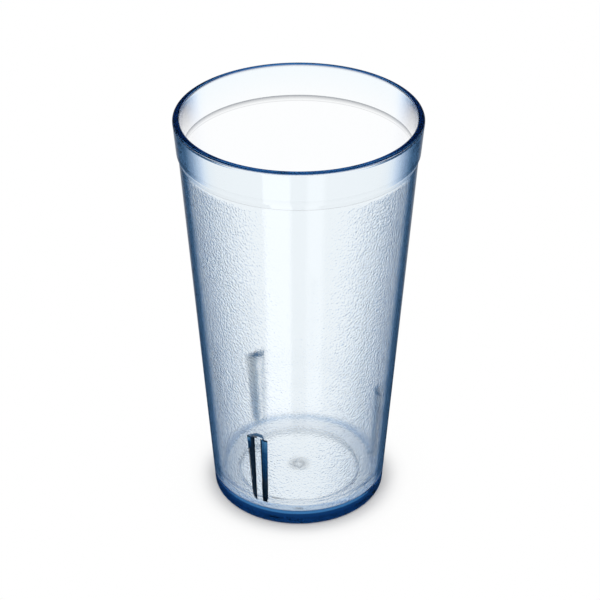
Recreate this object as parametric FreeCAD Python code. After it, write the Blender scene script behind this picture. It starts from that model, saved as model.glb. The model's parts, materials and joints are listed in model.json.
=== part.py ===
import FreeCAD, Part
import math
import os

# A stackable drinking tumbler, moulded in one piece. Sizes are in millimetres.
# The origin is the middle of the foot plane, +Z is up the cup's axis, and one stacking lug is along +X.

# Outside of the cup
cup_height = 150.0
rim_radius = 42.65        # outer face of the band, carried up to the rim plane
band_height = 12.4        # plain band, from the rim plane down to the shoulder
band_flare = 1.05         # how much wider the band is at the rim than at the shoulder
shoulder_height = 1.8     # sloping shoulder between the band and the body
shoulder_step = 0.7       # how far the band stands out from the body
shoulder_fillet = 0.35    # rounds the shoulder's two edges
base_radius = 31.3        # outer face of the body, carried down to the foot plane

# Wall and lip
lip_thickness = 2.55      # wall at the rim
lip_flat = 0.15           # narrow flat left along the top of the rounded lip
floor_wall = 2.55         # wall at the level of the inside floor

# Floor and foot
floor_height = 6.8        # inside floor, above the foot plane
floor_fillet = 4.5        # inside corner between the floor and the wall
foot_fillet = 1.2         # outer edge of the foot
recess_radius = 22.5      # hollow under the cup, inside the foot ring
recess_depth = 3.0        # depth of the hollow
recess_draft = 0.25       # how much wider the hollow is at the foot plane
recess_fillet = 0.6       # rounds the hollow's lower edge
gate_radius = 1.6         # moulding stub in the middle of the hollow
gate_height = 0.5

# Stacking lugs: they carry the foot of the next cup before its wall jams
lug_count = 3
lug_face_width = 2.5      # narrow inner face of a lug
lug_draft = 1.8           # how far that face leans out from upright towards its top, in degrees
lug_flank_angle = 42.0    # slope of a lug's sides, away from the radial direction
lug_seat = 1.1            # how far a lug reaches in under the next cup's foot
lug_fillet = 0.35         # rounds a lug's edges
nest_clearance = 0.25     # radial gap round the next cup's foot

tolerance = 0.001         # for telling a lug's edges apart

# Heights and radii that follow from the sizes above
shoulder_top = cup_height - band_height
shoulder_bottom = shoulder_top - shoulder_height
band_foot_radius = rim_radius - band_flare
body_top_radius = band_foot_radius - shoulder_step
body_slope = (body_top_radius - base_radius) / shoulder_bottom
mouth_radius = rim_radius - lip_thickness
floor_radius = base_radius + body_slope * floor_height - floor_wall
inner_slope = (mouth_radius - floor_radius) / (cup_height - floor_height)
lip_fillet = (lip_thickness - lip_flat) / 2
foot_radius = base_radius + body_slope * foot_fillet
nest_height = floor_height + (foot_radius + nest_clearance - floor_radius) / inner_slope
lug_top = nest_height - foot_fillet
lug_face_distance = base_radius - foot_fillet - lug_seat      # at the lug's top

# Corners of the cup's half section, as distance from the axis, height and rounding radius,
# in order from the axis over the hollow and the foot, up the outside and down the inside
section_corners = [
    (0.0, recess_depth, 0.0),
    (recess_radius, recess_depth, 0.0),
    (recess_radius + recess_draft, 0.0, recess_fillet),
    (base_radius, 0.0, foot_fillet),
    (body_top_radius, shoulder_bottom, shoulder_fillet),
    (band_foot_radius, shoulder_top, shoulder_fillet),
    (rim_radius, cup_height, lip_fillet),
    (mouth_radius, cup_height, lip_fillet),
    (floor_radius, floor_height, floor_fillet),
    (0.0, floor_height, 0.0),
]


def section_point(corner):
    return FreeCAD.Vector(corner[0], 0, corner[1])


def corner_arc(before, corner, after):
    """Arc that rounds a corner and is tangent to the straight edges on both sides of it."""
    radius = corner[2]
    at = section_point(corner)
    to_before = (section_point(before) - at).normalize()
    to_after = (section_point(after) - at).normalize()
    half_angle = to_before.getAngle(to_after) / 2
    reach = radius / math.tan(half_angle)
    to_crest = (to_before + to_after).normalize() * (radius / math.sin(half_angle) - radius)
    return Part.Arc(at + to_before * reach, at + to_crest, at + to_after * reach)


def cup_section():
    """Half of the cup cut through its axis: straight edges joined by tangent arcs."""
    edges = []
    first = section_point(section_corners[0])
    last = first
    neighbours = zip(section_corners, section_corners[1:], section_corners[2:] + section_corners[:1])
    for before, corner, after in neighbours:
        if corner[2] > 0:
            arc = corner_arc(before, corner, after)
            edges.append(Part.LineSegment(last, arc.StartPoint).toShape())
            edges.append(arc.toShape())
            last = arc.EndPoint
        else:
            edges.append(Part.LineSegment(last, section_point(corner)).toShape())
            last = section_point(corner)
    edges.append(Part.LineSegment(last, first).toShape())
    return Part.Face(Part.Wire(edges))


def turned(section):
    return section.revolve(FreeCAD.Vector(0, 0, 0), FreeCAD.Vector(0, 0, 1), 360)


def wall_middle(height):
    """Radius halfway through the wall at a height."""
    outer = base_radius + body_slope * height
    inner = floor_radius + inner_slope * (height - floor_height)
    return (outer + inner) / 2


def lug(angle):
    """A wedge of plastic that rises from the floor with a little draft and sinks into the sloping wall."""
    root = floor_height / 2
    rise = lug_top - root
    lean = rise * math.tan(math.radians(lug_draft))
    reach = wall_middle(lug_top) - lug_face_distance
    face_half = lug_face_width / 2
    back_half = face_half + reach * math.tan(math.radians(lug_flank_angle))
    face = lug_face_distance - lean
    back = face + reach
    plan = [(face, -face_half), (back, -back_half), (back, back_half), (face, face_half)]
    corners = [FreeCAD.Vector(x, y, root) for x, y in plan]
    prism = Part.Face(Part.makePolygon(corners + corners[:1])).extrude(FreeCAD.Vector(lean, 0, rise))
    inner_edges = [edge for edge in prism.Edges if edge.BoundBox.XMax < lug_face_distance + tolerance]
    rounded = [edge for edge in inner_edges if edge.BoundBox.ZMax > root + tolerance]
    wedge = prism.makeFillet(lug_fillet, rounded)
    inside_wall = Part.makeCone(wall_middle(root), wall_middle(lug_top), rise, FreeCAD.Vector(0, 0, root))
    wedge = wedge.common(inside_wall)
    wedge.rotate(FreeCAD.Vector(0, 0, 0), FreeCAD.Vector(0, 0, 1), angle)
    return wedge


def gate_stub():
    """The stub hangs under the floor and is rooted halfway up through it."""
    root = (recess_depth + floor_height) / 2
    bottom = recess_depth - gate_height
    return Part.makeCylinder(gate_radius, root - bottom, FreeCAD.Vector(0, 0, bottom))


def tumbler():
    lugs = [lug(360.0 / lug_count * index) for index in range(lug_count)]
    return turned(cup_section()).fuse(lugs + [gate_stub()]).removeSplitter()


os.makedirs("parts", exist_ok=True)
cup = tumbler()
solid = cup.Solids[0]
print("solids", len(cup.Solids), "valid", solid.isValid(), "volume ml", round(solid.Volume / 1000, 2))
print("lug top", round(lug_top, 2), "lug face from the axis", round(lug_face_distance, 2))
solid.exportStep("parts/tumbler.step")
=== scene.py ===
import json
import math
import bpy
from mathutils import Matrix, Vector, noise


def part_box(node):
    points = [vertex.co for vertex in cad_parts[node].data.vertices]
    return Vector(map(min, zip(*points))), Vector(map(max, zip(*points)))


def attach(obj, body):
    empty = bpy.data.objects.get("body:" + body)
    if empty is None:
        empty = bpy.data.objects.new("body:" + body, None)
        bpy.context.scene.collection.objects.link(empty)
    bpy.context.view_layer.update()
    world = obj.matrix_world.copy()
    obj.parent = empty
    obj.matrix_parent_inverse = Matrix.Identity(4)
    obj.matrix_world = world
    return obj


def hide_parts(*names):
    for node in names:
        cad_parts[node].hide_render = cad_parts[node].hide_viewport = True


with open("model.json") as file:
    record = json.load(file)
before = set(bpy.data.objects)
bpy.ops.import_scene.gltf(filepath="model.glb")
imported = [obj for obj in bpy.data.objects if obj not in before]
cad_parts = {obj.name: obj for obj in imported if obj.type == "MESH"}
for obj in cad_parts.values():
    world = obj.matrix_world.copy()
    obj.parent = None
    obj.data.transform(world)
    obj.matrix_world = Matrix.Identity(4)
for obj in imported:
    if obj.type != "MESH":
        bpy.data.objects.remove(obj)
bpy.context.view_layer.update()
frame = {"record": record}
boxLow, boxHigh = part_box("tumbler")
ledgeMount = next(mount for mount in frame["record"]["mounts"] if mount["name"] == "stacking_ledge")
print("frame loaded")

# the turned section of the cup, in metres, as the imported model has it
section = {
    "height": boxHigh[2] - boxLow[2],
    "rimRadius": 0.04265,        # outside of the band, carried up to the rim plane
    "bandHeight": 0.0124,
    "bandFlare": 0.00105,
    "shoulderHeight": 0.0018,
    "shoulderStep": 0.0007,
    "shoulderRound": 0.00035,
    "baseRadius": 0.0313,        # outside of the body, carried down to the foot plane
    "lipThickness": 0.00255,
    "lipRound": 0.0012,
    "floorWall": 0.00255,
    "floorHeight": 0.0068,
    "floorRound": 0.0045,
    "footRound": 0.0012,
    "hollowRadius": 0.0225,
    "hollowDepth": 0.003,
    "hollowDraft": 0.00025,
    "hollowRound": 0.0006,
    "stubRadius": 0.0016,        # moulding stub under the floor
    "stubHeight": 0.0005,
    "footBand": 0.0078,          # height of the finely meshed band round the foot
    "hollowLineWidth": 0.0005,
    "lineWidth": 0.0002,         # how far the painted shoulder line fades on each side
}

lugs = {
    "count": 3,
    "top": ledgeMount["pos_m"][2],
    "faceDistance": 0.029,       # narrow inner face, from the axis, at the lug's top
    "faceDraft": math.radians(1.8),
    "faceWidth": 0.0025,
    "flankAngle": math.radians(42),
    "edgeRound": math.radians(0.4),
    "capDepth": 0.0008,          # painted dark strip under a lug's top
    "ledgeClear": 0.35,          # share of the ledge, next to the wall, that stays clear
    "sideFoot": 0.0015,          # how far a lug's painted dark sides run out over the rounding of the floor, a painted shadow there
    "facetFoot": 0.0315,         # lower end of the painted light facet on a lug's left side
    "facetStep": 0.0003,
    "darkLeft": (2, 4),          # painted dark columns on the left side next to the face: beside the facet, below it
    "darkRight": 2,              # painted dark columns on the wall, past the right side
    # painted shade of a lug's sides, 0 dark to 1 light blue: at the face's edges, on the left side, on the right side
    "edgeShade": 0.2,
    "leftShade": 0.3,
    "flankShade": 0.85,
    "flankFade": (0.008, 0.034), # heights between which the right side goes from painted dark to its painted lighter blue
}

mesh = {
    "columnsPerLug": 134,
    "bodyRows": 140,
    "footRows": 16,
    "flankSteps": 5,             # columns on a lug's side
    "easeSteps": 14,             # columns that ease back to even spacing
    "pebbleDepth": 0.000005,     # how far the grain stands in or out
    "pebbleSize": 0.0016,
    "pebbleFade": 0.0012,        # the grain runs out at the shoulder and the foot
}


# painted shade of the thick edges, from 0 clear to 1 full navy; it stands partly for the plastic's deeper tint where
# light runs long through them
edgeShades = {
    "foot": ((0.0052, 1.0), (0.0054, 0.5), (0.0068, 0.5), (0.0071, 0.0)),     # height, tone
    "insideClear": 0.9,          # how far the inside escapes the painted shade of faces that turn away
    "slopeTurn": -0.3,           # the shoulder's slope reads as less turned away than it is, so its painted edge shade lightens to a painted highlight line
    "lip": 1.0,
    "lipStart": 0.4,             # share of the rounding's rise where the lip's painted shade begins
    "lipFull": 0.75,
    "lipTop": 0.7,
    "innerLip": 0.5,
    "hollowLine": 0.9,           # how dark the painted line at the hollow's edge and the stub reads through the floor
}


def corner(radius, height):
    return Vector((radius, height))


def roundedCorner(before, at, after, radius, steps):
    toBefore = (before - at).normalized()
    toAfter = (after - at).normalized()
    half = toBefore.angle(toAfter) / 2
    reach = radius / math.tan(half)
    centre = at + (toBefore + toAfter).normalized() * radius / math.sin(half)
    first = at + toBefore * reach - centre
    last = at + toAfter * reach - centre
    turn = math.atan2(first.x * last.y - first.y * last.x, first.dot(last))
    points = []
    for step in range(steps + 1):
        angle = turn * step / steps
        x = first.x * math.cos(angle) - first.y * math.sin(angle)
        y = first.x * math.sin(angle) + first.y * math.cos(angle)
        points.append(centre + Vector((x, y)))
    return points


def straight(start, end, rows):
    return [start.lerp(end, (row + 1) / (rows + 1)) for row in range(rows)]  # the ends stay out


# rows of the half section, from the middle of the hollow round to the middle of the inside floor
def cupSection():
    s = section
    shoulderTop = s["height"] - s["bandHeight"]
    bandFoot = s["rimRadius"] - s["bandFlare"]
    bodyTop = corner(bandFoot - s["shoulderStep"], shoulderTop - s["shoulderHeight"])
    slope = (bodyTop.x - s["baseRadius"]) / bodyTop.y
    floorEdge = corner(s["baseRadius"] + slope * s["floorHeight"] - s["floorWall"], s["floorHeight"])
    foot = corner(s["baseRadius"], 0)
    shoulder = corner(bandFoot, shoulderTop)
    lipOut = corner(s["rimRadius"], s["height"])
    lipIn = corner(s["rimRadius"] - s["lipThickness"], s["height"])
    hollowTop = corner(s["hollowRadius"], s["hollowDepth"])
    hollowLow = corner(s["hollowRadius"] + s["hollowDraft"], 0)
    stubTop = corner(s["stubRadius"], s["hollowDepth"])
    floorMiddle = corner(0, s["floorHeight"])

    rows = [("hollowEdge", stubTop - corner(0, s["stubHeight"])), ("hollowEdge", stubTop)]
    lineReach = s["hollowLineWidth"]
    rows += [("hollow", p) for p in straight(stubTop, hollowTop, 5) + [hollowTop - corner(lineReach, 0)]]
    rows += [("hollowEdge", hollowTop), ("hollow", hollowTop - corner(0, lineReach))]
    rows += [("hollow", p) for p in roundedCorner(hollowTop, hollowLow, foot, s["hollowRound"], 3)]
    footCurve = roundedCorner(hollowLow, foot, bodyTop, s["footRound"], 6)
    rows += [("under", p) for p in straight(rows[-1][1], footCurve[0], 2)]
    rows += [("foot", p) for p in footCurve]
    footLine = corner(s["baseRadius"] + slope * s["footBand"], s["footBand"])
    rows += [("body", p) for p in straight(footCurve[-1], footLine, mesh["footRows"]) + [footLine]]
    shoulderCurve = roundedCorner(foot, bodyTop, shoulder, s["shoulderRound"], 2)
    lineFoot = shoulderCurve[0] + (foot - bodyTop).normalized() * s["lineWidth"]
    lineTop = shoulderCurve[-1] + (shoulder - bodyTop).normalized() * s["lineWidth"]
    rows += [("body", p) for p in straight(footLine, lineFoot, mesh["bodyRows"]) + [lineFoot]]
    rows += [("shoulder", p) for p in shoulderCurve]
    rows += [("slope", lineTop)]
    rows += [("shoulderTop", p) for p in roundedCorner(bodyTop, shoulder, lipOut, s["shoulderRound"], 2)]
    outerLip = roundedCorner(shoulder, lipOut, lipIn, s["lipRound"], 8)
    bandStart = rows[-1][1] + (lipOut - shoulder).normalized() * s["lineWidth"]
    bandEnd = outerLip[0] + (shoulder - lipOut).normalized() * s["lineWidth"]
    rows += [("band", p) for p in [bandStart] + straight(bandStart, bandEnd, 2) + [bandEnd]]
    rows += [("outerLip", p) for p in outerLip]
    innerLip = roundedCorner(lipOut, lipIn, floorEdge, s["lipRound"], 8)
    rows += [("innerLip", p) for p in innerLip]
    floorCurve = roundedCorner(lipIn, floorEdge, floorMiddle, s["floorRound"], 10)
    wallTop = innerLip[-1]
    wallFoot = floorCurve[0]
    def onWall(height):
        return wallTop.lerp(wallFoot, (wallTop.y - height) / (wallTop.y - wallFoot.y))

    ledge = onWall(lugs["top"])
    capFoot = onWall(lugs["top"] - lugs["capDepth"])
    facetFoot = onWall(lugs["facetFoot"])
    facetEnd = onWall(lugs["facetFoot"] - lugs["facetStep"])
    rows += [("inside", p) for p in straight(wallTop, ledge, 8)]
    # the cap row ends the painted dark strip under a lug's top
    rows += [("ledge", ledge), ("ledgePart", ledge.copy()), ("lugTop", ledge.copy()), ("cap", capFoot)]
    # the facet rows end the painted light on a lug's left side
    rows += [("facet", onWall(capFoot.y - lugs["facetStep"]))]
    rows += [("facet", facetFoot), ("inside", facetEnd)]
    rows += [("inside", p) for p in straight(facetEnd, wallFoot, 6) + floorCurve]
    rows += [("floor", p) for p in straight(floorCurve[-1], floorMiddle, 4)]
    return rows


# distance of a lug's narrow face from the axis, at a height
def lugFace(height):
    return lugs["faceDistance"] - (lugs["top"] - height) * math.tan(lugs["faceDraft"])


# angle from a lug's middle to where its side meets a wall of this radius
def flankFoot(radius, height):
    cot = 1 / math.tan(lugs["flankAngle"])
    edge = lugFace(height) - lugs["faceWidth"] / 2 * cot
    size = math.hypot(1, cot)
    least = math.atan(lugs["faceWidth"] / 2 / lugs["faceDistance"]) + 2 * lugs["edgeRound"]
    if radius * size <= edge:
        return least
    return max(least, math.acos(edge / (radius * size)) - math.atan(cot))


def lugRadius(angle, height):
    cot = 1 / math.tan(lugs["flankAngle"])
    face = lugFace(height) / math.cos(angle)
    side = (lugFace(height) - lugs["faceWidth"] / 2 * cot) / (math.cos(angle) - abs(math.sin(angle)) * cot)
    return max(face, side)


# angles of one lug's columns: evenly spaced, and drawn by share towards the lug's own edges
def columnAngles(flank, share):
    half = mesh["columnsPerLug"] // 2
    face = math.atan(lugs["faceWidth"] / 2 / lugs["faceDistance"])
    marks = [0, face * 0.5, face - lugs["edgeRound"], face, face + lugs["edgeRound"]]
    marks += [marks[-1] + (flank - marks[-1]) * k / mesh["flankSteps"] for k in range(1, mesh["flankSteps"] + 1)]
    sector = math.pi / lugs["count"]
    restAngle = sector * (len(marks) - 1 + mesh["easeSteps"]) / half
    marks += [flank + (restAngle - flank) * k / mesh["easeSteps"] for k in range(1, mesh["easeSteps"] + 1)]
    right = []
    for index in range(half + 1):
        even = sector * index / half
        drawn = marks[index] if index < len(marks) else even
        right.append(even + (drawn - even) * share)
    return [-angle for angle in reversed(right[1:])] + right[:-1]


# painted shade of a mesh face on a lug: 0 clear, 1 painted shaded side, 2 painted dark cap
def lugShadeKind(column, rowName):
    step = column % mesh["columnsPerLug"] - mesh["columnsPerLug"] // 2 + 0.5
    edge = 4
    onSide = abs(step) > 2 and (rowName == "facet" or step > -edge - lugs["darkLeft"][1])
    if rowName == "ledgePart":
        return 0
    if rowName in ("lugTop", "cap"):
        return 2 if -edge - mesh["flankSteps"] < step < edge + mesh["flankSteps"] + lugs["darkRight"] else 0
    if -edge - mesh["flankSteps"] < step < edge + mesh["flankSteps"] + lugs["darkRight"] and onSide:
        return 1
    return 0


# painted shade and light of a lug's side, from 0 dark to 1 light blue
def lugShadeTone(column, height):
    step = column % mesh["columnsPerLug"] - mesh["columnsPerLug"] // 2
    if abs(step) <= 4:
        return lugs["edgeShade"]
    if step < 0:
        return lugs["leftShade"] if step >= -4 - lugs["darkLeft"][height < lugs["facetFoot"]] else 1.0
    return lugs["flankShade"] * fadeBetween(height, *lugs["flankFade"])


# height of the moulded grain, from -1 to 1
def grainHeight(x, y, z):
    size = mesh["pebbleSize"]
    place = Vector((x / size, y / size, z / size * 0.75))
    place += noise.noise_vector(place * 0.6) * 0.5
    return noise.noise(place) + 0.5 * noise.noise(place * 2.1)


def fadeBetween(value, zero, one):
    return min(1.0, max(0.0, (value - zero) / (one - zero)))


def alongStops(value, stops):
    for (low, lowTone), (high, highTone) in zip(stops, stops[1:]):
        if value < high:
            return lowTone + (highTone - lowTone) * fadeBetween(value, low, high)
    return stops[-1][1]


# how strongly each row takes the painted dark foot and lip, the painted shoulder and hollow lines, the inside's escape
# from the painted edge shade, and the grain
def rowMarks(name, p, rows):
    bodyLow = next(q.y for kind, q in rows if kind == "body")
    bodyHigh = [q.y for kind, q in rows if kind == "body"][-1]
    marks = {"edgeShade": 0.0, "nearLine": 0.0, "farLine": 0.0, "inner": 0.0, "moreTurned": 0.0,
             "pebble": 0.0, "lugShadeTone": 0.0}
    if name == "foot":
        marks["edgeShade"] = 1.0
    if name == "body":
        marks["edgeShade"] = alongStops(p.y, edgeShades["foot"])
        marks["pebble"] = min(fadeBetween(p.y, bodyLow, bodyLow + mesh["pebbleFade"]),
                              fadeBetween(p.y, bodyHigh, bodyHigh - mesh["pebbleFade"]))
    if name in ("outerLip", "innerLip"):
        rise = (p.y - section["height"] + section["lipRound"]) / section["lipRound"]
        marks["edgeShade"] = edgeShades["innerLip"] * fadeBetween(rise, edgeShades["lipStart"], edgeShades["lipFull"])
    if name == "outerLip":
        start, full = edgeShades["lipStart"], edgeShades["lipFull"]
        marks["edgeShade"] = alongStops(rise, ((start, 0), (full, edgeShades["lip"]), (1, edgeShades["lipTop"])))
        marks["moreTurned"] = 1.0 - marks["edgeShade"]
    if name in ("shoulder", "slope", "shoulderTop"):
        marks["moreTurned"] = edgeShades["slopeTurn"]
    if name == "shoulder":
        marks["nearLine"] = 1.0
    if name == "shoulderTop":
        marks["farLine"] = 1.0
    if name == "hollowEdge":
        marks["farLine"] = edgeShades["hollowLine"]
    if name in ("inside", "ledge", "ledgePart", "lugTop", "cap", "facet", "floor"):
        marks["inner"] = edgeShades["insideClear"]
    if name in ("hollow", "hollowEdge", "under"):
        marks["inner"] = 1.0
    return marks


def buildCup():
    rows = cupSection()
    columns = mesh["columnsPerLug"] * lugs["count"]
    inside = False
    below = False
    rings = []
    points = [Vector((0, 0, rows[0][1].y))]
    pointMarks = [rowMarks("hollow", rows[0][1], rows)]
    for name, p in rows:
        marks = rowMarks(name, p, rows)
        if name == "innerLip":
            inside = True
        if name == "ledgePart":
            below = True
        share = 0.0
        if inside:
            share = fadeBetween(p.y, section["height"], lugs["top"])
        flank = flankFoot(p.x, p.y)
        local = columnAngles(flank, share)
        ring = []
        for lug in range(lugs["count"]):
            for angle in local:
                radius = p.x
                if below and abs(angle) <= flank:
                    radius = min(radius, lugRadius(angle, p.y))
                if name == "ledgePart":
                    radius = p.x + (radius - p.x) * lugs["ledgeClear"]
                if name in ("ledgePart", "lugTop") and abs(radius - p.x) < 1e-6:
                    ring.append(rings[-1][len(ring)])
                    continue
                turn = angle + math.tau * lug / lugs["count"]
                if marks["pebble"] > 0:
                    height = grainHeight(p.x * math.cos(turn), p.x * math.sin(turn), p.y)
                    radius += height * mesh["pebbleDepth"] * marks["pebble"]
                if below:
                    marks = dict(marks, lugShadeTone=lugShadeTone(len(ring), p.y))
                ring.append(len(points))
                points.append(Vector((radius * math.cos(turn), radius * math.sin(turn), p.y)))
                pointMarks.append(marks)
        rings.append(ring)
    points.append(Vector((0, 0, rows[-1][1].y)))
    pointMarks.append(rowMarks("floor", rows[-1][1], rows))

    faces = []
    faceShades = []
    below = False
    for (lowName, low), (highName, high), ringA, ringB in zip(rows, rows[1:], rings, rings[1:]):
        if lowName == "ledge":
            below = True
        for c in range(columns):
            d = (c + 1) % columns
            face = list(dict.fromkeys([ringA[c], ringA[d], ringB[d], ringB[c]]))
            if len(face) < 3:
                continue
            faces.append(face)
            onLug = below and high.x > lugFace(high.y) - lugs["sideFoot"]
            faceShades.append(lugShadeKind(c, highName) if onLug else 0)
    for c in range(columns):
        d = (c + 1) % columns
        faces.append([0, rings[0][d], rings[0][c]])
        faces.append([len(points) - 1, rings[-1][c], rings[-1][d]])
        faceShades += [0, 0]
    shape = bpy.data.meshes.new("tumblerCup")
    shape.from_pydata(points, [], faces)
    for name in pointMarks[0]:
        layer = shape.attributes.new(name, "FLOAT", "POINT")
        layer.data.foreach_set("value", [marks[name] for marks in pointMarks])
    shape.materials.append(tumblerPlastic())
    shape.materials.append(lugShade())
    shape.materials.append(lugCapShade())
    shape.polygons.foreach_set("material_index", faceShades)
    shape.shade_smooth()
    shape.set_sharp_from_angle(angle=math.radians(35))
    shape.validate()
    piece = bpy.data.objects.new("tumblerCup", shape)
    bpy.context.scene.collection.objects.link(piece)
    triangles = sum(len(face) - 2 for face in faces)
    print("cup mesh", len(points), "points", triangles, "triangles")
    return piece


plastic = {
    "ior": 1.57,
    "roughness": 0.015,
    "absorb": (0.2, 0.52, 0.86),
    "density": 7.0,
    "grainScale": 1550.0,
    "grainStretch": (1, 1, 0.85),
    "grainRipple": 0.000025,     # how far the grain bends what is seen through it
    "grainShade": 0.00065,       # how far the grain shades the tint
    # painted shade by how far a face turns away, for the dark surroundings and long paths seen at the outline; squared
    # because light passes it on the way in and out
    "facingShade": [(0.0, (0.86, 0.95, 1)), (0.38, (0.85, 0.945, 1)), (0.43, (0.79, 0.91, 1)),
                   (0.465, (0.66, 0.83, 1)), (0.5, (0.42, 0.6, 0.88)), (0.54, (0.21, 0.36, 0.61)),
                   (0.585, (0.075, 0.16, 0.34)), (0.63, (0.025, 0.075, 0.19)), (0.66, (0.008, 0.034, 0.105)),
                   (0.69, (0.004, 0.02, 0.07))],
    # share of the painted edge shade that the grain leaves alone: most in front, none at the sides, all at the outline
    "grainCalm": [(0.14, (0.7, 0.7, 0.7)), (0.3, (0.2, 0.2, 0.2)), (0.42, (0, 0, 0)), (0.64, (0, 0, 0)),
                  (0.78, (1, 1, 1))],
    # painted navy of the thick foot and lip, partly the plastic's deeper tint along long paths
    "thickEdgeShade": [(0.0, (1, 1, 1)), (0.5, (0.003, 0.04, 0.19)), (1.0, (0.00002, 0.0014, 0.02))],
    # painted dark shade of the shoulder and hollow lines
    "lineShade": (0.1, 0.11, 0.13),
    "lineFront": 0.4,            # how much of the painted shoulder line shows from in front
    # painted shade of a lug's sides: dark seen through their own wall, and a painted paler copy seen from inside the
    # cup
    "lugShadeDeep": [(0.0, (0.002, 0.006, 0.014)), (0.2, (0.012, 0.03, 0.06)), (0.3, (0.03, 0.055, 0.09)),
                (0.4, (0.01, 0.06, 0.16)), (0.75, (0.03, 0.16, 0.4)), (0.9, (0.2, 0.58, 1.0)), (1.0, (0.3, 0.75, 1.0))],
    "lugShadePale": [(0.2, (0.62, 0.8, 1.0)), (0.75, (0.9, 0.96, 1.0))],
    # painted dark strip under a lug's top: seen through its own wall, and a painted paler copy from inside the cup
    "lugCapShade": (0.005, 0.04, 0.12),
    "capShadePale": (0.04, 0.2, 0.42),
}


def addNode(tree, kind, x, y, **values):
    node = tree.nodes.new(kind)
    node.location = (x, y)
    for name, value in values.items():
        setattr(node, name, value)
    return node


def feed(tree, socket, value):
    if isinstance(value, bpy.types.NodeSocket):
        tree.links.new(value, socket)
    else:
        socket.default_value = value


def addMath(tree, operation, x, y, *values):
    node = addNode(tree, "ShaderNodeMath", x, y, operation=operation)
    for socket, value in zip(node.inputs, values):
        feed(tree, socket, value)
    return node.outputs[0]


def addMix(tree, blend, x, y, factor, first, second):
    node = addNode(tree, "ShaderNodeMix", x, y, data_type="RGBA", blend_type=blend)
    feed(tree, node.inputs["Factor"], factor)
    feed(tree, node.inputs["A"], first)
    feed(tree, node.inputs["B"], second)
    return node.outputs["Result"]


def addRamp(tree, x, y, stops, source):
    node = addNode(tree, "ShaderNodeValToRGB", x, y)
    band = node.color_ramp
    for index, (position, colour) in enumerate(stops):
        element = band.elements[index] if index < 2 else band.elements.new(position)
        element.position = position
        element.color = (*colour, 1)
    feed(tree, node.inputs["Fac"], source)
    return node.outputs["Color"]


def startMaterial(name):
    material = bpy.data.materials.new(name)
    material.use_nodes = True
    material.node_tree.nodes.clear()
    output = addNode(material.node_tree, "ShaderNodeOutputMaterial", 900, 0)
    return material, material.node_tree, output


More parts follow.
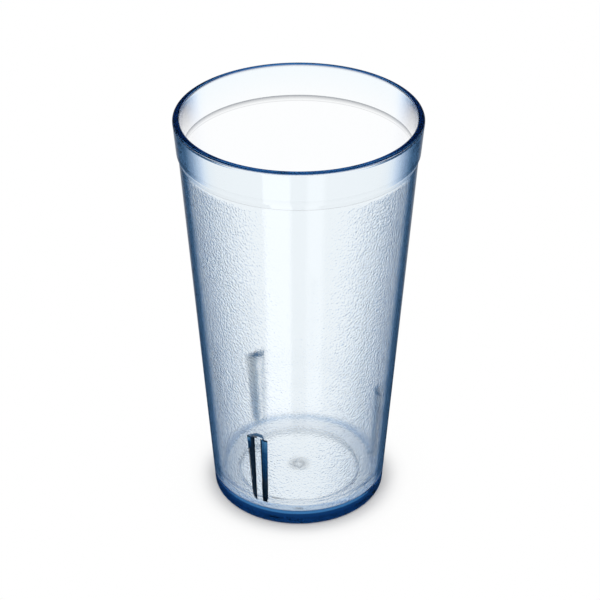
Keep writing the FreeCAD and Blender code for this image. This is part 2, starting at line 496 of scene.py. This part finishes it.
def tumblerPlastic():
    p = plastic
    material, tree, output = startMaterial("tumblerPlastic")
    link = tree.links.new
    skin = addNode(tree, "ShaderNodeBsdfPrincipled", 600, 0)
    skin.inputs["Transmission Weight"].default_value = 1.0
    skin.inputs["IOR"].default_value = p["ior"]
    skin.inputs["Roughness"].default_value = p["roughness"]
    link(skin.outputs["BSDF"], output.inputs["Surface"])
    depth = addNode(tree, "ShaderNodeVolumeAbsorption", 600, -400)
    depth.inputs["Color"].default_value = (*p["absorb"], 1)
    depth.inputs["Density"].default_value = p["density"]
    link(depth.outputs["Volume"], output.inputs["Volume"])

    place = addNode(tree, "ShaderNodeTexCoord", -1300, -300)
    stretch = addNode(tree, "ShaderNodeMapping", -1100, -300)
    stretch.inputs["Scale"].default_value = p["grainStretch"]
    link(place.outputs["Object"], stretch.inputs["Vector"])
    cells = addNode(tree, "ShaderNodeTexNoise", -900, -300, noise_type="FBM", normalize=True)
    cells.inputs["Scale"].default_value = p["grainScale"]
    cells.inputs["Detail"].default_value = 2.0
    cells.inputs["Distortion"].default_value = 0.3
    link(stretch.outputs["Vector"], cells.inputs["Vector"])
    pebble = addNode(tree, "ShaderNodeAttribute", -900, -600, attribute_name="pebble")
    height = addMath(tree, "MULTIPLY", -700, -300, cells.outputs["Fac"], pebble.outputs["Fac"])
    ripple = addNode(tree, "ShaderNodeBump", -500, -400)      # bends the light
    ripple.inputs["Distance"].default_value = p["grainRipple"]
    link(height, ripple.inputs["Height"])
    link(ripple.outputs["Normal"], skin.inputs["Normal"])
    shade = addNode(tree, "ShaderNodeBump", -500, -150)       # shades the tint
    shade.inputs["Distance"].default_value = p["grainShade"]
    link(height, shade.inputs["Height"])

    # painted edge shade by how far a face turns away, also shaded by the grain
    facing = addNode(tree, "ShaderNodeLayerWeight", -300, 100)
    facing.inputs["Blend"].default_value = 0.5
    link(shade.outputs["Normal"], facing.inputs["Normal"])
    smooth = addNode(tree, "ShaderNodeLayerWeight", -700, 100)
    smooth.inputs["Blend"].default_value = 0.5
    calm = addRamp(tree, -500, 100, p["grainCalm"], smooth.outputs["Facing"])
    turn = addMix(tree, "MIX", -300, 0, calm, facing.outputs["Facing"], smooth.outputs["Facing"])
    more = addNode(tree, "ShaderNodeAttribute", -500, 300, attribute_name="moreTurned")
    away = addMath(tree, "MULTIPLY_ADD", -200, 50, turn, more.outputs["Fac"], turn)
    turned = addRamp(tree, -100, 100, p["facingShade"], away)
    inner = addNode(tree, "ShaderNodeAttribute", -300, 350, attribute_name="inner")
    # painted navy of the thick foot and lip
    edge = addNode(tree, "ShaderNodeAttribute", -300, 550, attribute_name="edgeShade")
    paler = addMath(tree, "MAXIMUM", 0, 400, inner.outputs["Fac"], edge.outputs["Fac"])
    wall = addMix(tree, "MIX", 50, 150, paler, turned, (1, 1, 1, 1))
    deep = addRamp(tree, -100, 550, p["thickEdgeShade"], edge.outputs["Fac"])
    outside = addMix(tree, "MULTIPLY", 200, 250, 1.0, wall, deep)
    side = addNode(tree, "ShaderNodeNewGeometry", -300, 800)
    entering = addMix(tree, "MIX", 350, 300, side.outputs["Backfacing"], outside, (1, 1, 1, 1))
    # painted dark shoulder and hollow lines
    near = addNode(tree, "ShaderNodeAttribute", -300, 1000, attribute_name="nearLine")
    far = addNode(tree, "ShaderNodeAttribute", -300, 1200, attribute_name="farLine")
    nearDepth = addMath(tree, "MULTIPLY", -100, 1000, near.outputs["Fac"], p["lineFront"])
    farDepth = addMath(tree, "MULTIPLY", -100, 1200, far.outputs["Fac"], side.outputs["Backfacing"])
    lineDepth = addMath(tree, "MAXIMUM", 50, 900, nearDepth, farDepth)
    lineShade = addMix(tree, "MIX", 200, 900, lineDepth, (1, 1, 1, 1), (*p["lineShade"], 1))
    colour = addMix(tree, "MULTIPLY", 450, 500, 1.0, entering, lineShade)
    link(colour, skin.inputs["Base Color"])
    return material


# painted shade on a lug's sides: dark where light can't pass them, and a painted paler copy when seen from inside the
# cup
def lugShade():
    material, tree, output = startMaterial("lugShade")
    link = tree.links.new
    skin = addNode(tree, "ShaderNodeBsdfPrincipled", 600, 0)
    skin.inputs["Roughness"].default_value = 0.5
    skin.inputs["Specular IOR Level"].default_value = 0.0
    link(skin.outputs["BSDF"], output.inputs["Surface"])
    tone = addNode(tree, "ShaderNodeAttribute", -400, 0, attribute_name="lugShadeTone")
    deep = addRamp(tree, -200, 150, plastic["lugShadeDeep"], tone.outputs["Fac"])
    pale = addRamp(tree, -200, -150, plastic["lugShadePale"], tone.outputs["Fac"])
    side = addNode(tree, "ShaderNodeNewGeometry", -200, 400)
    link(addMix(tree, "MIX", 200, 0, side.outputs["Backfacing"], pale, deep), skin.inputs["Base Color"])
    return material


# painted dark strip under a lug's top, with a painted paler copy seen from inside the cup
def lugCapShade():
    material, tree, output = startMaterial("lugCapShade")
    skin = addNode(tree, "ShaderNodeBsdfPrincipled", 600, 0)
    skin.inputs["Roughness"].default_value = 0.5
    skin.inputs["Specular IOR Level"].default_value = 0.0
    side = addNode(tree, "ShaderNodeNewGeometry", 0, 0)
    colour = addMix(tree, "MIX", 300, 0, side.outputs["Backfacing"], (*plastic["capShadePale"], 1), (*plastic["lugCapShade"], 1))
    tree.links.new(colour, skin.inputs["Base Color"])
    tree.links.new(skin.outputs["BSDF"], output.inputs["Surface"])
    return material


stageLook = {
    "floorHalf": 3.0,
    "floorDrop": 0.00002,
    "floorColour": (0.9, 0.9, 0.9, 1),
    "glowReach": 0.06,
    # distance from the axis, and share of plain white that the floor shows there: the floor's own shadow shows near the
    # foot, and its falloff is painted by this ramp
    "glow": ((0.0315, 0.0), (0.0325, 0.11), (0.0336, 0.27), (0.0347, 0.46), (0.0359, 0.61), (0.0382, 0.86),
             (0.0416, 0.97), (0.055, 1.0)),
    "ringReach": 0.04,
    "footRingShadow": ((0.021, 1.0), (0.0235, 0.9), (0.0315, 0.9), (0.036, 1.0)),   # radius, and brightness of the painted shadow under the foot that rays through the cup meet
    # painted reflection: bright strips on the floor that only mirrored rays see, for the highlights on the cup
    "stripTurn": -2.0,           # degrees from -Y towards +X
    "stripNear": (0.07, 0.095),  # the strips fade in between these distances from the axis
    "strips": ((-180, 0.2), (-158, 0.2), (-140, 0.0), (-31.6, 0.0), (-30.9, 1.0), (-8.0, 1.0), (-6.5, 0.0),
               (6.0, 0.0), (9.0, 0.6), (20.0, 0.6), (25.0, 0.0), (140, 0.0), (158, 0.2), (180, 0.2)),
    "stripGlow": 1.7,
    # painted dark reflection of floor and sky for mirrored rays
    "mirrorFloor": (0.01, 0.03, 0.06),
    "mirrorSky": (0.014, 0.04, 0.09),
    # the sky seen through the plastic is dimmer overhead: painted shade for the cup's edges
    "throughSky": 0.8,
}


# 1 for light that comes straight off a mirroring face
def mirrorRays(tree, rays, x, y):
    plain = addMath(tree, "SUBTRACT", x, y, rays.outputs["Is Glossy Ray"], rays.outputs["Is Transmission Ray"])
    return addMath(tree, "GREATER_THAN", x + 200, y, plain, 0.5)


def floorMaterial():
    s = stageLook
    material, tree, output = startMaterial("paleFloor")
    link = tree.links.new
    rays = addNode(tree, "ShaderNodeLightPath", -900, 500)
    place = addNode(tree, "ShaderNodeNewGeometry", -1300, 0)
    split = addNode(tree, "ShaderNodeSeparateXYZ", -1100, 0)
    link(place.outputs["Position"], split.inputs["Vector"])
    square = addMath(tree, "MULTIPLY", -900, 100, split.outputs["X"], split.outputs["X"])
    squares = addMath(tree, "MULTIPLY_ADD", -700, 100, split.outputs["Y"], split.outputs["Y"], square)
    away = addMath(tree, "SQRT", -500, 100, squares)

    matte = addNode(tree, "ShaderNodeBsdfDiffuse", 200, 300)
    matte.inputs["Color"].default_value = s["floorColour"]
    white = addNode(tree, "ShaderNodeEmission", 200, 100)
    # painted shadow under the foot ring, on the plain white that rays through the cup meet
    ringStops = [(radius / s["ringReach"], (tone, tone, tone)) for radius, tone in s["footRingShadow"]]
    ringPlace = addMath(tree, "DIVIDE", -300, 100, away, s["ringReach"])
    link(addRamp(tree, -100, 100, ringStops, ringPlace), white.inputs["Color"])
    # near the foot the floor's own shadow shows; its falloff is painted by distance
    glowStops = [(radius / s["glowReach"], (share, share, share)) for radius, share in s["glow"]]
    glow = addRamp(tree, -300, 300, glowStops, addMath(tree, "DIVIDE", -500, 300, away, s["glowReach"]))
    seen = addMath(tree, "MULTIPLY", -100, 400, rays.outputs["Is Camera Ray"], glow)
    plain = addMath(tree, "ADD", 50, 400, seen, rays.outputs["Is Transmission Ray"])
    lit = addNode(tree, "ShaderNodeMixShader", 400, 200)
    link(plain, lit.inputs["Fac"])
    link(matte.outputs["BSDF"], lit.inputs[1])
    link(white.outputs["Emission"], lit.inputs[2])

    # painted reflection strips, seen only by mirrored rays
    toFront = addMath(tree, "MULTIPLY", -1000, -400, split.outputs["Y"], -1.0)
    angle = addMath(tree, "ARCTAN2", -900, -300, split.outputs["X"], toFront)
    circles = addMath(tree, "MULTIPLY_ADD", -700, -300, angle, 1 / math.tau, 0.5 - s["stripTurn"] / 360)
    stripStops = [(0.5 + place / 360, (tone, tone, tone)) for place, tone in s["strips"]]
    strips = addRamp(tree, -400, -300, stripStops, circles)
    beyond = addNode(tree, "ShaderNodeMapRange", -400, -600)
    beyond.inputs["From Min"].default_value, beyond.inputs["From Max"].default_value = s["stripNear"]
    link(away, beyond.inputs["Value"])
    strips = addMix(tree, "MIX", -100, -400, beyond.outputs["Result"], (0, 0, 0, 1), strips)
    mirrored = addNode(tree, "ShaderNodeEmission", 400, -200)
    bright = addMix(tree, "MULTIPLY", 50, -300, 1.0, strips, (s["stripGlow"],) * 3 + (1,))
    link(addMix(tree, "ADD", 200, -300, 1.0, bright, (*s["mirrorFloor"], 1)), mirrored.inputs["Color"])
    final = addNode(tree, "ShaderNodeMixShader", 650, 0)
    link(mirrorRays(tree, rays, -100, 600), final.inputs["Fac"])
    link(lit.outputs["Shader"], final.inputs[1])
    link(mirrored.outputs["Emission"], final.inputs[2])
    link(final.outputs["Shader"], output.inputs["Surface"])
    return material


def paleFloor():
    size = stageLook["floorHalf"]
    shape = bpy.data.meshes.new("paleFloor")
    corners = [(-size, -size, 0), (size, -size, 0), (size, size, 0), (-size, size, 0)]
    shape.from_pydata(corners, [], [(0, 1, 2, 3)])
    shape.materials.append(floorMaterial())
    piece = bpy.data.objects.new("paleFloor", shape)
    piece.location.z = -stageLook["floorDrop"]
    bpy.context.scene.collection.objects.link(piece)


softboxes = {
    "leftSoftbox": {"place": (-0.45, -0.7, 0.6), "size": (0.1, 0.7), "power": 1.0},
    "rightSoftbox": {"place": (0.25, -0.8, 0.6), "size": (0.08, 0.7), "power": 0.7},
}


def areaLight(name, place, size, power):
    lamp = bpy.data.lights.new(name, "AREA")
    lamp.shape = "RECTANGLE"
    lamp.size, lamp.size_y = size
    lamp.energy = power
    piece = bpy.data.objects.new(name, lamp)
    piece.visible_glossy = False       # the painted reflection strips on the floor alone make the highlights
    piece.visible_transmission = False
    piece.location = place
    aim = Vector((0, 0, section["height"] / 2)) - Vector(place)
    piece.rotation_euler = aim.to_track_quat("-Z", "Y").to_euler()
    bpy.context.scene.collection.objects.link(piece)


def studioWorld():
    s = stageLook
    world = bpy.data.worlds.new("studioWorld")
    world.use_nodes = True
    tree = world.node_tree
    back = tree.nodes["Background"]
    rays = addNode(tree, "ShaderNodeLightPath", -1000, 400)
    place = addNode(tree, "ShaderNodeTexCoord", -1200, 0)
    split = addNode(tree, "ShaderNodeSeparateXYZ", -1000, 0)
    tree.links.new(place.outputs["Generated"], split.inputs["Vector"])
    # painted shade: the sky seen through the plastic is dimmer overhead
    high = addNode(tree, "ShaderNodeMapRange", -800, 0)
    for name, value in zip(("From Min", "From Max", "To Min", "To Max"), (0.1, 0.4, 1.0, s["throughSky"])):
        high.inputs[name].default_value = value
    tree.links.new(split.outputs["Z"], high.inputs["Value"])
    dim = addNode(tree, "ShaderNodeCombineColor", -600, 0)
    for socket in dim.inputs[:3]:
        tree.links.new(high.outputs["Result"], socket)
    through = addMix(tree, "MIX", -400, 0, rays.outputs["Is Transmission Ray"], (1, 1, 1, 1), dim.outputs["Color"])
    # painted dark reflection of the sky for mirrored rays
    shine = addMix(tree, "MIX", -200, 0, mirrorRays(tree, rays, -700, 400), through, (*s["mirrorSky"], 1))
    tree.links.new(shine, back.inputs["Color"])
    bpy.context.scene.world = world


# the photo's view, turned about the cup's axis from -Y towards +X
cameraSetup = {
    "distance": 0.5772,
    "height": 0.4333,
    "side": 0.00045,
    "pitch": math.radians(31.71),
    "turn": math.radians(-2.0),
    "focalPixels": 1904.0,
    "framePixels": 600.0,
}


def photoCamera():
    c = cameraSetup
    data = bpy.data.cameras.new("photoCamera")
    data.sensor_width = 36.0
    data.lens = c["focalPixels"] / c["framePixels"] * data.sensor_width
    data.clip_start = 0.01
    data.clip_end = 20.0
    piece = bpy.data.objects.new("photoCamera", data)
    across = Vector((math.cos(c["turn"]), math.sin(c["turn"]), 0))
    back = Vector((math.sin(c["turn"]), -math.cos(c["turn"]), 0))
    piece.location = across * c["side"] + back * c["distance"] + Vector((0, 0, c["height"]))
    piece.rotation_euler = (math.pi / 2 - c["pitch"], 0, c["turn"])
    bpy.context.scene.collection.objects.link(piece)
    bpy.context.scene.camera = piece


cupPiece = buildCup()
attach(cupPiece, "root")
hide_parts("tumbler")
paleFloor()
studioWorld()
for name, box in softboxes.items():
    areaLight(name, box["place"], box["size"], box["power"])
photoCamera()
print("stage, lights and camera set")

sceneNow = bpy.context.scene
sceneNow.view_settings.view_transform = "Standard"
sceneNow.cycles.max_bounces = 64
sceneNow.cycles.transmission_bounces = 64
sceneNow.cycles.glossy_bounces = 64
sceneNow.cycles.use_denoising = True
